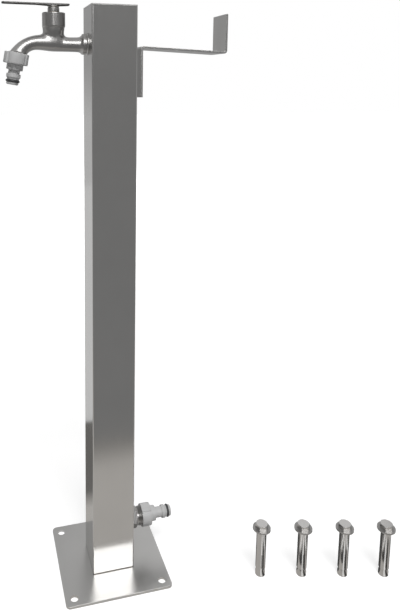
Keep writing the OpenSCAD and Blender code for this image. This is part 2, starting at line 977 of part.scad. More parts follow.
module inlet_wall_washer() {
  color(black_rubber)
    along_x(wall_x, inlet_z)
      ring(union_af, tail_hole_d, wall_washer_t);
}

module inlet_union() {
  tail_len = wall_washer_t + column_wall + locknut_t + tail_grip;
  color(polished)
    along_x(wall_x + wall_washer_t, inlet_z)
      difference() {
        union() {
          rotate(30)
            hexagon(union_af, union_hex_len);
          translate([0, 0, union_hex_len - eps])
            cylinder(d = hose_thread_d, h = union_thread_len + eps);
          translate([0, 0, -tail_len])
            cylinder(d = tail_d, h = tail_len + eps);
        }
        translate([0, 0, -tail_len - eps])
          cylinder(d = water_bore, h = tail_len + union_hex_len + union_thread_len + 2 * eps);
      }
}

module inlet_locknut() {
  color(brass)
    along_x(inlet_socket_x, inlet_z)
      difference() {
        hexagon(union_af, locknut_t);
        translate([0, 0, -eps])
          cylinder(d = tail_d + 2 * run_gap, h = locknut_t + 2 * eps);
      }
}

// Riser, inside the column

// An elbow with its socket along +X, as far as its face, and its threaded end up +Z
module corner_elbow(face) {
  difference() {
    union() {
      rotate([0, 90, 0])
        cylinder(d = socket_d, h = face);
      sphere(d = socket_d);
      cylinder(d = tail_d, h = elbow_rise);
    }
    translate([face - tail_grip, 0, 0])
      rotate([0, 90, 0])
        cylinder(d = tail_d + 2 * run_gap, h = tail_grip + eps);
    rotate([0, 90, 0])
      cylinder(d = water_bore, h = face);
    cylinder(d = water_bore, h = elbow_rise + eps);
    sphere(d = water_bore);
  }
}

module inlet_elbow() {
  color(brass)
    translate([0, 0, inlet_z])
      corner_elbow(inlet_socket_x);
}

module tap_elbow() {
  color(brass)
    translate([0, 0, tap_z])
      rotate([0, 180, 0])
        corner_elbow(inner_x);
}

// Both ends of the riser, local +Z from the elbow into the pipe
module at_riser_ends() {
  translate([0, 0, riser_low_z])
    children();
  translate([0, 0, riser_high_z])
    rotate([180, 0, 0])
      children();
}

module riser_pipe() {
  low = riser_low_z + riser_seal_t;
  high = riser_high_z - riser_seal_t;
  color(steel)
    difference() {
      union() {
        translate([0, 0, low])
          cylinder(d = riser_d, h = high - low);
        at_riser_ends()
          translate([0, 0, riser_seal_t])
            cylinder(d = riser_flange_d, h = riser_flange_t);
      }
      translate([0, 0, low - eps])
        cylinder(d = water_bore, h = high - low + 2 * eps);
    }
}

module riser_seals() {
  color(black_rubber)
    at_riser_ends()
      ring(riser_flange_d, water_bore, riser_seal_t);
}

module riser_nuts() {
  thread_h = riser_nut_h - riser_lip_t;
  color(brass)
    at_riser_ends()
      translate([0, 0, -riser_nut_grip])
        difference() {
          hexagon(riser_nut_af, riser_nut_h);
          translate([0, 0, -eps])
            cylinder(d = tail_d + 2 * run_gap, h = thread_h + eps);
          cylinder(d = riser_d + 2 * free_gap, h = riser_nut_h + eps);
        }
}

// Anchors, standing beside the plate before they are fitted

module anchor_bolts() {
  color(polished)
    each_anchor() {
      translate([0, 0, bolt_end_z])
        cylinder(d = anchor_d, h = washer_top - bolt_end_z + eps);
      translate([0, 0, washer_top])
        intersection() {
          hexagon(anchor_af, anchor_head_h);
          cylinder(r1 = anchor_af / 2 + anchor_head_h, r2 = anchor_af / 2, h = anchor_head_h);
        }
    }
}

module anchor_washers() {
  color(polished)
    each_anchor()
      translate([0, 0, sleeve_top])
        ring(anchor_washer_d, anchor_d + 2 * hole_gap, anchor_washer_t);
}

module anchor_sleeves() {
  color(polished)
    each_anchor()
      translate([0, 0, cone_h])
        difference() {
          ring(sleeve_d, sleeve_bore, sleeve_len);
          for (turn = [0, 90])
            rotate(turn)
              translate([-sleeve_d, -slit_w / 2, -eps])
                cube([2 * sleeve_d, slit_w, slit_h]);
        }
}

module anchor_cones() {
  straight_h = cone_h * 0.4;
  color(polished)
    each_anchor()
      difference() {
        union() {
          cylinder(d = sleeve_d, h = straight_h);
          translate([0, 0, straight_h - eps])
            cylinder(d1 = sleeve_d, d2 = sleeve_bore - 2 * run_gap, h = cone_h - straight_h + eps);
        }
        translate([0, 0, -eps])
          cylinder(d = anchor_d + 2 * run_gap, h = cone_h + 2 * eps);
      }
}

base_plate();
column_tube();
top_cap();
hook_bracket();
hose_hook();
hook_screws();
hook_nuts();
tap_rosette();
tap_wall_seal();
tap_body();
seat_seal();
cartridge_body();
cartridge_seal();
cartridge_nut();
fixed_disc();
turning_disc();
tap_spindle();
spindle_rings();
spindle_clip();
handle_hub();
handle_lever();
handle_screw();
outlet_nut();
outlet_washer();
outlet_nipple();
outlet_ring();
inlet_wall_washer();
inlet_union();
inlet_locknut();
inlet_elbow();
inlet_nut();
inlet_washer();
inlet_nipple();
inlet_ring();
riser_pipe();
riser_seals();
riser_nuts();
tap_elbow();
anchor_bolts();
anchor_washers();
anchor_sleeves();
anchor_cones();
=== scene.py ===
"""Garden standpipe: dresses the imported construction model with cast, moulded and brushed surfaces."""

import json
import math

import bpy
import numpy as np
from bpy.props import FloatProperty, FloatVectorProperty, IntProperty, PointerProperty
from mathutils import Euler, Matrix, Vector


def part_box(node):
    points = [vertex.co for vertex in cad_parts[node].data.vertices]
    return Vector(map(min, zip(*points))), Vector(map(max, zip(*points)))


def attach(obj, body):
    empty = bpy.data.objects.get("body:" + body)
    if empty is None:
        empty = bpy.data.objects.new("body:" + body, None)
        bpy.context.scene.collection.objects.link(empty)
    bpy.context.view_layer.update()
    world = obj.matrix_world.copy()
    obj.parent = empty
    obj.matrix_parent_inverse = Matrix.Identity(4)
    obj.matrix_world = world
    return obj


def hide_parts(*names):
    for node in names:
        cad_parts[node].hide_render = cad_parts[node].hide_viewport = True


bl_info = {
    "name": "Garden standpipe",
    "version": (1, 0, 0),
    "blender": (4, 5, 0),
    "location": "View3D > Sidebar > Standpipe",
    "description": "Surfaces, finishes and studio of a garden standpipe",
    "category": "Object",
}

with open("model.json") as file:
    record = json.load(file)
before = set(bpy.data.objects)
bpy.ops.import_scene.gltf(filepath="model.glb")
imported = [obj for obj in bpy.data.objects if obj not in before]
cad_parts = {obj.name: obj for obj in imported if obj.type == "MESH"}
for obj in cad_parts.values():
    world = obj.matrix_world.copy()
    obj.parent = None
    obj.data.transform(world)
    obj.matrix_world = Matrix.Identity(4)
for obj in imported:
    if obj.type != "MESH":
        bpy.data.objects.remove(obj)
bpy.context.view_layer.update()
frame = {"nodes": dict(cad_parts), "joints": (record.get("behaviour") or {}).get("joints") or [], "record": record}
RECORD = frame["record"]
JOINTS = {joint["name"]: joint for joint in frame["joints"]}
SLOT_OF = {part["node"]: part["material_slot"] for part in RECORD["subparts"]}
BODY_OF = {node: body for body, nodes in RECORD["behaviour"]["bodies"].items() for node in nodes}
PHOTO_W, PHOTO_H = 400, 611
MM_PER_M = 1000
QUARTER, TURN = math.pi / 2, 2 * math.pi
WHITE = (1.0, 1.0, 1.0)


def box(part):
    """Lowest and highest corner of a construction node, in metres."""
    return np.array(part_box(part))


def middle(part):
    """Centre of a construction node's box, in metres."""
    return box(part).mean(0)


def size(name, about, default):
    """A property for a size in metres."""
    return FloatProperty(name=name, description=about, default=default, min=0.0, unit="LENGTH", precision=5)


def number(name, about, default):
    """A property for a plain number."""
    return FloatProperty(name=name, description=about, default=default)


def angle_of(name, about, degrees):
    """A property for an angle."""
    return FloatProperty(name=name, description=about, default=math.radians(degrees), subtype="ANGLE")


def colour(name, about, default):
    """A property for a linear colour."""
    return FloatVectorProperty(
        name=name, description=about, default=default, subtype="COLOR", min=0.0, max=1.0, size=3
    )


class StandpipeSizes(bpy.types.PropertyGroup):
    """Sizes of the dressed pieces; their places come from the construction model."""

    skin_step: size("Casting grid", "Grid of the cast tap's surface", 0.0006)
    pipe_r: size("Pipe radius", "Radius of the tap's pipe and spout", 0.0085)
    spout_run: size("Spout run", "Straight run before the spout's bend", 0.0225)
    spout_bend_r: size("Spout bend", "Centre-line radius of the spout's bend", 0.0265)
    collar_r: size("Collar radius", "Radius of the collar at the wall", 0.0125)
    collar_len: size("Collar length", "Length of the collar at the wall", 0.0036)
    globe_r: size("Globe radius", "Radius of the globe under the chest", 0.0137)
    globe_h: size("Globe height", "Height of the globe below the chest's flats", 0.0165)
    globe_fore: size("Globe overhang", "Its further reach towards the spout", 0.0006)
    spout_swell: size("Spout swell", "Growth of the spout's radius towards the chest", 0.0019)
    swell_len: size("Swell length", "Length of fuller spout", 0.036)
    swell_back: size("Swell behind", "Length of fuller pipe behind the chest", 0.012)
    spout_flare: size("Spout flare", "Growth of the spout's radius towards its thread", 0.002)
    back_swell: size("Back pipe", "Extra radius of the pipe behind the chest", 0.0007)
    back_drop: size("Back drop", "How much lower that pipe lies", 0.001)
    wall_flare: size("Wall flare", "Growth of the pipe's radius towards the wall", 0.0008)
    wall_flare_len: size("Wall flare length", "Length of that growth", 0.024)
    chest_flat: size("Chest", "Distance from the stem to the six flats", 0.0144)
    chest_corner: size("Chest corner", "Height of the chest's corners over its flats", 0.0006)
    flats_h: size("Flats", "Height of the chest's flats", 0.0185)
    bonnet_r: size("Bonnet bore", "Radius of the cartridge's bore", 0.0118)
    bonnet_depth: size("Bonnet depth", "Depth of that bore", 0.0125)
    cast_fillet: size("Cast fillet", "Width of the fillets of the casting", 0.006)
    back_fillet: size("Back fillet", "Extra width behind the chest", 0.003)
    wall_fillet: size("Wall fillet", "Width of the fillet at the wall's collar", 0.0075)
    boss_len: size("Thread boss", "Length of the spout's threaded end", 0.0095)
    tail_r: size("Tail radius", "Radius of the tails inside the column", 0.01045)
    water_r: size("Waterway", "Radius of the waterway", 0.0055)
    thread_r: size("Hose thread", "Crest radius of the hose threads", 0.0132)
    thread_pitch: size("Thread pitch", "Pitch of the hose threads", 0.001814)
    thread_depth: size("Thread depth", "Depth of the hose threads", 0.00105)
    grip_count: IntProperty(name="Grooves", description="Finger grooves round a nut", default=4, min=0)
    nut_groove: size("Finger groove", "Depth of the nuts' finger grooves", 0.0012)
    outlet_neck: size("Outlet neck", "Length of the outlet nipple's neck", 0.005)
    inlet_neck: size("Inlet neck", "Length of the inlet nipple's neck", 0.0105)
    mould_edge: size("Moulded edge", "Edge radius of the plastic pieces", 0.0006)
    lever_edge: size("Lever edge", "Edge radius of the lever", 0.0003)
    lever_thin: size("Lever taper", "Loss of thickness towards the ends", 0.0008)
    plate_corner: size("Plate corner", "Corner radius of the base plate", 0.006)
    plate_edge: size("Plate edge", "Edge radius of the base plate", 0.0006)
    strip_edge: size("Strip edge", "Edge radius of the hook's strip", 0.0005)
    strip_t: size("Strip thickness", "Thickness of the hook's strip", 0.003)
    strip_bend: size("Strip bend", "Centre-line radius of the hook's bends", 0.003)
    hook_leg: size("Hook leg", "Straight length of the hook's leg", 0.062)
    hook_arm: size("Hook arm", "Straight length of the hook's arm", 0.112)
    hook_droop: angle_of("Hook droop", "Angle by which the arm falls", 2.5)


class StandpipeColours(bpy.types.PropertyGroup):
    """Colours of the finishes."""

    brushed: colour("Brushed steel", "Column, plate and hook", (0.585, 0.58, 0.57))
    polished: colour("Polished steel", "Tap, lever, union and anchors", (0.41, 0.404, 0.397))
    plastic: colour("Grey plastic", "Hose connectors", (0.52, 0.52, 0.52))
    rubber: colour("Rubber", "Seals", (0.03, 0.03, 0.031))
    brass: colour("Brass", "Pieces inside tap and column", (0.62, 0.43, 0.17))
    ceramic: colour("Ceramic", "Cartridge discs", (0.80, 0.79, 0.76))
    floor: colour("Floor", "Studio floor", (0.45, 0.45, 0.45))
    ground: colour("Ground", "Warm tint of the near ground that metal shows", (1.0, 0.965, 0.92))


class StandpipeStudio(bpy.types.PropertyGroup):
    """Camera and lights, found from the photograph's edges."""

    camera_at: FloatVectorProperty(
        name="Camera", description="Camera position", default=(-0.176954, -0.783337, 0.701968), unit="LENGTH"
    )
    pitch: angle_of("Pitch", "Camera's tilt below the horizon", 7.8773)
    azimuth: angle_of("Azimuth", "Camera's turn from +Y towards +X", 14.6043)
    roll: angle_of("Roll", "Camera's roll", 0.3385)
    focal_px: number("Focal length", "In pixels of the photograph", 597.376)
    centre_x: number("Principal point, across", "In pixels from the photograph's left edge", 129.061)
    centre_y: number("Principal point, down", "In pixels from the photograph's top edge", 165.0)
    key: number("Key light", "Radiance of the wide softbox that metal shows", 5.2)
    top: number("Top light", "Radiance of the steep softbox for plastic and floor", 14.5)
    fill: number("Rear fill", "Radiance of the shadowless softbox behind", 3.2)
    sky: number("Sky", "Strength of the even light all round", 0.16)
    paper: number("Paper", "Light that the near floor gives", 0.70)


# Surfaces


def shell(points):
    """Points and quads of a grid that closes on itself in both directions."""
    here = np.arange(points.size // 3).reshape(points.shape[:2])
    ahead = np.roll(here, -1, 0)
    quads = np.stack([here, ahead, np.roll(ahead, -1, 1), np.roll(here, -1, 1)], -1)
    return points.reshape(-1, 3), quads.reshape(-1, 4)


def joined(*surfaces):
    """Several (points, quads) surfaces as one."""
    points, quads = zip(*surfaces)
    starts = np.cumsum([0] + [len(part) for part in points[:-1]])
    return np.concatenate(points), np.concatenate([part + start for part, start in zip(quads, starts)])


def outward(points, quads):
    """The surface with quads turned so that its volume, a sum of signed tetrahedra, is positive."""
    a, b, c, d = points[quads.T]
    volume = np.sum(a * (np.cross(b, c) + np.cross(c, d)))
    return points, quads if volume > 0 else quads[:, ::-1]


def unit(rows):
    """Each row over its own length."""
    return rows / np.linalg.norm(rows, axis=1)[:, None]


def level(flat, z):
    """Points (x, y) at one height, or at one each."""
    return np.column_stack([flat, np.broadcast_to(z, len(flat))])


def quarter_round(edge, steps):
    """A quarter circle from a face to a side: how far it lies in from the side and down from the face."""
    turn = np.linspace(0, QUARTER, steps)
    return edge * (1 - np.sin(turn)), edge * (1 - np.cos(turn))


def eased_rim(thick, edge):
    """How far in and how high an eased rim lies, by quarter circles from its top to its underside."""
    inset, drop = quarter_round(edge, 5)
    return np.concatenate([inset, inset[::-1]]), np.concatenate([thick - drop, drop[::-1]])


def rounded(corners, radii, steps=6):
    """A closed outline with rounded corners: each is cut back by its radius over the tangent of its half
    angle, or by just under half a side, and bridged by a parabola."""
    corner = np.asarray(corners, float)
    back, ahead = np.roll(corner, 1, 0) - corner, np.roll(corner, -1, 0) - corner
    most = 0.49 * np.linalg.norm([back, ahead], axis=2).min(0)
    back, ahead = unit(back), unit(ahead)
    half_angle = np.arccos(np.clip(np.einsum("ij,ij->i", back, ahead), -1, 1)) / 2
    cut = np.minimum(radii / np.tan(half_angle), most)[:, None]
    t = np.linspace(0, 1, steps)[:, None, None]
    arcs = (1 - t) ** 2 * (corner + back * cut) + 2 * t * (1 - t) * corner + t**2 * (corner + ahead * cut)
    return arcs.swapaxes(0, 1).reshape(-1, 2)


def turned(*corners):
    """A closed profile for the lathe from corners of (radius, height, edge radius)."""
    table = np.array(corners, float)
    return rounded(table[:, :2], table[:, 2])


def lathe(profile, count=128, swell=None):
    """A closed (radius, height) profile carried round the local z axis, its radius changed by
    swell(angle, radius, height)."""
    angle = np.linspace(0, TURN, count, endpoint=False)[:, None]
    r, z = profile[None, :, 0], profile[None, :, 1]
    r = r + (swell(angle, r, z) if swell else 0.0 * angle)
    return shell(np.stack([r * np.cos(angle), r * np.sin(angle), z + 0.0 * angle], -1))


def along(surface, origin, axis):
    """The surface with its local z axis put at origin and along axis, and its local y along the row's y."""
    points, quads = surface
    z = np.asarray(axis, float) / np.linalg.norm(axis)
    y = np.array([0.0, 1.0, 0.0])
    return points @ np.stack([np.cross(y, z), y, z]) + origin, quads


def screw_thread(s, start, end):
    """A threaded sleeve: its radius falls from the crest by a triangle wave of height over pitch minus angle
    over a turn, with flat crests and roots, which runs out over one pitch at both ends."""
    pitch, rows_in_pitch, sunk, steep, root_share = s.thread_pitch, 10, 0.0008, 1.3, 0.15
    core_r = s.thread_r - s.thread_depth - sunk
    rows = int(round((end - start) / pitch * rows_in_pitch)) + 1
    crest = [(s.thread_r, z) for z in np.linspace(start, end, rows)]

    def groove(angle, r, z):
        """Depth of the groove on the outer wall, and nothing on the core."""
        fade = np.clip(np.minimum(z - start, end - z) / pitch, 0, 1)
        wave = np.abs(((z / pitch - angle / TURN) % 1.0) * 2 - 1)
        depth = s.thread_depth * (1 - fade * np.clip(wave * steep - root_share, 0, 1))
        return np.where(r > core_r, -depth, 0.0)

    return lathe(np.array([*crest, (core_r, end), (core_r, start)]), 96, groove)


def strip(path, heading, half_w, half_t, edge):
    """A flat strip along a path in the x-z plane: a rounded rectangle at right angles to the heading, set in
    along a quarter circle at both ends and closed there by quads across."""
    end_rows, last, least = 4, len(path) - 1, 0.1 * edge
    sunk, moved = quarter_round(edge, end_rows)
    inset = np.concatenate([sunk, np.zeros(last - 1), sunk[::-1]])
    shift = np.concatenate([moved, np.zeros(last - 1), -moved[::-1]])
    row = np.concatenate([np.zeros(end_rows, int), np.arange(1, last), np.full(end_rows, last)])
    angle = heading[row]
    ahead = np.stack([np.cos(angle), np.sin(angle)], 1)
    side = ahead[:, ::-1] * (-1, 1)
    centre = path[row] + ahead * shift[:, None]
    sections = []
    for w, t, r in zip(half_w - inset, half_t - inset, np.maximum(edge - inset, least)):
        sections.append(rounded([(-w, -t), (w, -t), (w, t), (-w, t)], r, 5))
    section = np.stack(sections)
    flat = centre[:, None] + side[:, None] * section[..., 1:]
    points, quads = shell(np.stack([flat[..., 0], section[..., 0], flat[..., 1]], -1))
    m = section.shape[1]
    k = np.arange(m // 2 - 1)
    cap = np.stack([k, k + 1, m - 2 - k, m - 1 - k], 1)
    return points, np.concatenate([quads[:-m], cap, cap[:, ::-1] + len(points) - m])


def drilled_plate(half, corner_r, thick, hole_at, hole_r, edge):
    """A square plate with a hole near each corner. In each quadrant lines run from the hole's wall over the
    top to the outline, down the eased rim and back underneath. The outline runs along an axis and a side to
    the corner and back as its mirror image. Walls between quadrants are dropped and their points joined."""
    steps, corner_steps, on_axis, digits = 16, 9, 1e-9, 7
    run, turn = np.arange(steps)[:, None] / steps, np.linspace(0, QUARTER, corner_steps)
    bend = np.stack([np.cos(turn), np.sin(turn)], 1)
    way_out = np.concatenate([run * (half, 0), (half, 0) + run * (0, half - corner_r)])
    facing = np.repeat([(0, 0), (1, 0)], steps, axis=0)
    outline = np.concatenate([way_out, bend * corner_r + (half - corner_r), way_out[:0:-1, ::-1]])
    normal = np.concatenate([facing, bend, facing[:0:-1, ::-1]])
    spoke = unit(outline - hole_at)
    slope = 0.3 * edge
    lower = [(hole_r + edge, 0), (hole_r + slope, slope), (hole_r, edge)]
    wall = lower + [(r, thick - z) for r, z in reversed(lower)]
    rows = [level(hole_at + spoke * r, z) for r, z in wall]
    rows += [level(outline - normal * d, z) for d, z in zip(*eased_rim(thick, edge))]
    points, quads = shell(np.stack(rows, 1))
    between = (np.abs(points[quads][..., :2]) < on_axis).all(1).any(1)
    quads = quads[~between]
    mirrors = [(x, y, 1) for x in (1, -1) for y in (1, -1)]
    points, quads = joined(*((points * m, quads if m[0] == m[1] else quads[:, ::-1]) for m in mirrors))
    points, place = np.unique(np.round(points, digits), axis=0, return_inverse=True)
    return points, place.ravel()[quads]


def blend_in(a, b, width):
    """Smooth union of two distances: the smaller, less a parabola where they differ by less than width."""
    h = np.clip(0.5 + 0.5 * (b - a) / width, 0, 1)
    return b * (1 - h) + a * h - width * h * (1 - h)


def trim_to(a, b, width):
    """Smooth intersection of two distances."""
    return -blend_in(-a, -b, width)


def slab(value, start, end):
    """Distance to a stretch between two values: that from its middle less half its length."""
    return np.abs(value - (start + end) / 2) - (end - start) / 2


def skin(field, low_corner, high_corner, step):
    """The zero surface of a distance field by surface nets: a point in each grid cell that it crosses, at the
    mean of its edge crossings, and a quad round each crossed grid edge. The points then slide along the
    gradient onto the surface."""
    axes = [np.arange(a, b + step, step) for a, b in zip(low_corner, high_corner)]
    value = field(np.stack(np.meshgrid(*axes, indexing="ij"), -1))
    cells = tuple(n - 1 for n in value.shape)
    total, count, quads = np.zeros(cells + (3,)), np.zeros(cells), []
    for axis, (u, v) in enumerate(((1, 2), (2, 0), (0, 1))):
        a, b = np.delete(value, -1, axis), np.delete(value, 0, axis)
        crossed = (a < 0) != (b < 0)
        a, b, cell = a[crossed], b[crossed], np.argwhere(crossed)
        point = cell.astype(float)
        point[:, axis] += a / (a - b)
        ring = []
        for du, dv in ((0, 0), (-1, 0), (-1, -1), (0, -1)):
            corner = cell.copy()
            corner[:, u] += du
            corner[:, v] += dv
            place = tuple(corner.T)
            np.add.at(total, place, point)
            np.add.at(count, place, 1)
            ring.append(np.ravel_multi_index(place, cells))
        quad = np.stack(ring, 1)
        quads.append(np.where((a < 0)[:, None], quad, quad[:, ::-1]))
    used = count > 0
    index = np.full(cells, -1)
    index[used] = np.arange(used.sum())
    points = total[used] / count[used][:, None] * step + low_corner
    passes, nudge, least = 4, 0.05 * step, 0.2
    for _ in range(passes):
        rise = [field(points + d) - field(points - d) for d in np.eye(3) * nudge]
        slope = np.stack(rise, -1) / (2 * nudge)
        points = points - (field(points) / np.maximum((slope**2).sum(-1), least))[:, None] * slope
    return points, index.ravel()[np.concatenate(quads)]


def new_object(name, data):
    """An object in the scene's own collection."""
    thing = bpy.data.objects.new(name, data)
    bpy.context.scene.collection.objects.link(thing)
    return thing


def add_piece(name, surface, replaced, sharp, flats=False):
    """A mesh object from (points, quads) in the row's frame, with the body, slot and finish of the node that
    it replaces. Edges over the sharp angle, in degrees, shade sharp. With flats, normals are weighted by
    area, so that flat faces between eased edges shade flat."""
    points, quads = outward(*surface)
    mesh = bpy.data.meshes.new(name)
    mesh.vertices.add(len(points))
    mesh.vertices.foreach_set("co", points.astype(np.float32).ravel())
    mesh.loops.add(quads.size)
    mesh.loops.foreach_set("vertex_index", quads.astype(np.int32).ravel())
    mesh.polygons.add(len(quads))
    mesh.polygons.foreach_set("loop_start", np.arange(0, quads.size, 4, dtype=np.int32))
    mesh.polygons.foreach_set("use_smooth", np.ones(len(quads), bool))
    mesh.update(calc_edges=True)
    mesh.validate()
    mesh.set_sharp_from_angle(angle=math.radians(sharp))
    mesh.materials.append(finish_of(replaced))
    piece = new_object(name, mesh)
    if flats:
        piece.modifiers.new("Even flats", "WEIGHTED_NORMAL").keep_sharp = True
    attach(piece, BODY_OF[replaced])
    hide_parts(replaced)


# Finishes


def blank(owners, name):
    """A material or world with an empty node tree."""
    owner = owners.get(name) or owners.new(name)
    owner.use_nodes = True
    owner.node_tree.nodes.clear()
    return owner, owner.node_tree


def node(tree, kind, inputs=None, **settings):
    """A new node with its settings. Each input gets a value, or a link from another node's socket."""
    made = tree.nodes.new(f"ShaderNode{kind}")
    for name, value in settings.items():
        setattr(made, name, value)
    for name, value in (inputs or {}).items():
        if isinstance(value, bpy.types.NodeSocket):
            tree.links.new(value, made.inputs[name])
        else:
            made.inputs[name].default_value = value
    return made


def object_place(tree):
    """The socket of Object coordinates."""
    return node(tree, "TexCoord").outputs["Object"]


def object_axis(tree, axis):
    """The socket of one Object coordinate."""
    return node(tree, "SeparateXYZ", {"Vector": object_place(tree)}).outputs[axis]


def grain(tree, scale, detail, stretch=(1.0, 1.0, 1.0)):
    """The value socket of noise on Object coordinates, stretched by a Mapping node."""
    place = node(tree, "Mapping", {"Vector": object_place(tree), "Scale": stretch}).outputs["Vector"]
    return node(tree, "TexNoise", {"Vector": place, "Scale": scale, "Detail": detail}).outputs["Fac"]


NOISE_LOW, NOISE_HIGH = 0.3, 0.7


def spread(tree, value, low_to, high_to, low_from=NOISE_LOW, high_from=NOISE_HIGH):
    """A value mapped from one range to another."""
    ends = {"From Min": low_from, "From Max": high_from, "To Min": low_to, "To Max": high_to}
    return node(tree, "MapRange", {"Value": value, **ends}).outputs["Result"]


def tint(tree, value, dark, light):
    """A colour between two, by a noise value."""
    ramp = node(tree, "ValToRGB", {"Fac": value})
    for stop, position, rgb in zip(ramp.color_ramp.elements, (NOISE_LOW, NOISE_HIGH), (dark, light)):
        stop.position = position
        stop.color = (*rgb, 1.0)
    return ramp.outputs["Color"]


def shade(rgb, factor):
    """A colour made darker or lighter."""
    return tuple(min(1.0, channel * factor) for channel in rgb)


def textured(name, colours, rough, bump=None, even=None):
    """A finish that follows noise, given as (scale, detail, stretch). Colours is (noise, dark, light), rough
    (noise, low, high) and bump (noise, strength, depth in metres). Even holds the sockets with one value."""
    _, tree = blank(bpy.data.materials, name)
    sockets = dict(even or {})
    sockets["Base Color"] = tint(tree, grain(tree, *colours[0]), *colours[1:])
    sockets["Roughness"] = spread(tree, grain(tree, *rough[0]), *rough[1:])
    if bump:
        noise, strength, depth = bump
        height = {"Height": grain(tree, *noise), "Strength": strength, "Distance": depth}
        sockets["Normal"] = node(tree, "Bump", height).outputs["Normal"]
    shader = node(tree, "BsdfPrincipled", sockets)
    node(tree, "OutputMaterial", {"Surface": shader.outputs["BSDF"]})
    return tree, shader


def brushed_steel(name, rgb, lines_along, rough, drawn=0.55, seam=None):
    """Steel brushed along one axis: fine streaks in roughness and relief, slow patches in colour, highlights
    drawn out across the streaks. Below the height of the seam, if there is one, the colour is painted near black:
    painted shade of the crease where the column stands on the plate."""
    stretch = [1.0, 1.0, 1.0]
    stretch[lines_along] = 0.012
    streak, patch = (2600.0, 2.0, stretch), (16.0, 2.0)
    colours = (patch, shade(rgb, 0.975), shade(rgb, 1.02))
    bump, even = (streak, 0.06, 0.00001), {"Metallic": 1.0, "Anisotropic": drawn}
    tree, shader = textured(name, colours, (streak, rough - 0.03, rough + 0.04), bump, even)
    tangent = node(tree, "Tangent", direction_type="RADIAL", axis="XYZ"[lines_along])
    tree.links.new(tangent.outputs["Tangent"], shader.inputs["Tangent"])
    if seam:
        # Painted shade: below the seam the colour is multiplied by near black, a dark band for the crease at the
        # column's foot.
        soft, joint_shade_tone = 0.0003, (0.09, 0.08, 0.07, 1.0)
        below = spread(tree, object_axis(tree, "Z"), 1.0, 0.0, seam - soft, seam)
        steel = shader.inputs["Base Color"].links[0].from_socket
        tones = {"Factor": below, "A": steel, "B": joint_shade_tone}
        painted_joint_shade = node(tree, "Mix", tones, data_type="RGBA", blend_type="MULTIPLY")
        tree.links.new(painted_joint_shade.outputs["Result"], shader.inputs["Base Color"])


def polished_steel(name, rgb, rough, rim=1.0):
    """Polished steel with faint smears and a very fine polishing grain; rim is its tint at grazing view."""
    smear, fine = (60.0, 4.0, (1.0, 1.0, 0.4)), (2600.0, 2.0)
    colours = (smear, shade(rgb, 0.95), shade(rgb, 1.03))
    even = {"Metallic": 1.0, "Specular Tint": (rim, rim, rim, 1.0)}
    textured(name, colours, (smear, rough - 0.03, rough + 0.05), (fine, 0.08, 0.00002), even)


def moulded_plastic(name, rgb):
    """Moulded plastic: spark-eroded grain and a little mottling in colour."""
    mottle, fine = (45.0, 3.0), (2200.0, 2.0)
    colours = (mottle, shade(rgb, 0.95), shade(rgb, 1.05))
    textured(name, colours, (fine, 0.36, 0.52), (fine, 0.2, 0.00004), {"Specular IOR Level": 0.45})


def black_rubber(name, rgb):
    """Rubber with a dusty bloom."""
    bloom = (220.0, 4.0)
    textured(name, (bloom, rgb, shade(rgb, 2.2)), (bloom, 0.5, 0.72), (bloom, 0.15, 0.00005))


def machined_brass(name, rgb):
    """Turned brass with fine tool rings and slight tarnish."""
    tarnish, rings = (90.0, 4.0), (1800.0, 2.0, (0.1, 0.1, 1.0))
    colours = (tarnish, shade(rgb, 0.8), shade(rgb, 1.05))
    textured(name, colours, (rings, 0.22, 0.36), (rings, 0.15, 0.00003), {"Metallic": 1.0})


def lapped_ceramic(name, rgb):
    """White ceramic, lapped smooth, with faint clouds."""
    cloud = (140.0, 3.0)
    textured(name, (cloud, shade(rgb, 0.96), shade(rgb, 1.02)), (cloud, 0.14, 0.24))


NODE_FINISH = {
    "base_plate": "plate_steel",
    "top_cap": "plate_steel",
    "hose_hook": "hook_steel",
    "handle_lever": "shaded_lever_steel",
    "anchor_washers": "washer_steel",
    **dict.fromkeys(("anchor_bolts", "anchor_sleeves", "anchor_cones", "hook_screws"), "fixing_steel"),
}
SLOT_FINISH = {
    "brushed_steel": "column_steel",
    "polished_steel": "tap_steel",
    "grey_plastic": "connector_plastic",
    "rubber": "seal_rubber",
    "brass": "fitting_brass",
    "ceramic": "disc_ceramic",
}


def finish_of(part):
    """A construction node's finish, once the finishes are made."""
    name = NODE_FINISH.get(part, SLOT_FINISH[SLOT_OF[part]])
    finish = bpy.data.materials.get(name)
    if finish is None:
        raise RuntimeError(f"the finish {name} isn't made yet")
    return finish


class STANDPIPE_OT_finishes(bpy.types.Operator):
    """Makes the finishes and gives every construction node its own"""

    bl_idname = "standpipe.finishes"
    bl_label = "Finishes"

    def execute(self, context):
        c = context.scene.standpipe_colours
        # Height of the band of painted shade at the column's foot, in the crease where it meets the plate.
        foot_shade_h = 0.0013
        brushed_steel("column_steel", c.brushed, 2, 0.17, seam=box("column_tube")[0][2] + foot_shade_h)
        brushed_steel("plate_steel", c.brushed, 0, 0.32, drawn=0.1)
        brushed_steel("hook_steel", c.brushed, 0, 0.22)
        polished_steel("tap_steel", c.polished, 0.29)
        # The lever is the tap's polished steel at 0.55 of its colour, with a dark tint at grazing view: painted
        # shade for its dark edge and underside.
        polished_steel("shaded_lever_steel", shade(c.polished, 0.55), 0.34, rim=0.15)
        polished_steel("fixing_steel", shade(c.polished, 1.4), 0.16)
        polished_steel("washer_steel", c.polished, 0.42)
        moulded_plastic("connector_plastic", c.plastic)
        black_rubber("seal_rubber", c.rubber)
        machined_brass("fitting_brass", c.brass)
        lapped_ceramic("disc_ceramic", c.ceramic)
        for part in SLOT_OF:
            solid = frame["nodes"][part]
            if not solid.material_slots:
                solid.data.materials.append(None)
            for slot in solid.material_slots:
                slot.material = finish_of(part)
        return {"FINISHED"}


# Pieces


